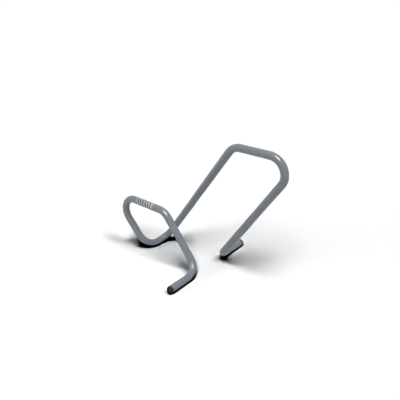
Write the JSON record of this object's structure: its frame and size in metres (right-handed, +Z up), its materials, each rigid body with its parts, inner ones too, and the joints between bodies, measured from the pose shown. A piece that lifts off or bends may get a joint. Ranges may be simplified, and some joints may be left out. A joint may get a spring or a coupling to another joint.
{
  "type": "hoop bike rack",
  "caption": "Free-standing stand for one bicycle wheel: a round steel tube bent into a low and a high leaning hoop, with a wheel slot between them and capped feet on the floor.",
  "frame": {"origin": "on the floor, at the middle of the overall length and width", "axes": "+X across the wheel slot from the low hoop to the high hoop, +Y along the slot from its open side to the floor link that stops the wheel, +Z up"},
  "size_m": [0.5206, 0.8182, 0.5948],
  "materials": {
    "coated_steel": "blue-grey powder coat, satin",
    "black_plastic": "moulded, fine matt grain",
    "label_film": "light grey adhesive film with plain slanted bars"
  },
  "bodies": {
    "root": {"bent_tube": "coated_steel", "end_cap_low_hoop": "black_plastic", "end_cap_high_hoop": "black_plastic", "label": "label_film"}
  },
  "joints": []
}
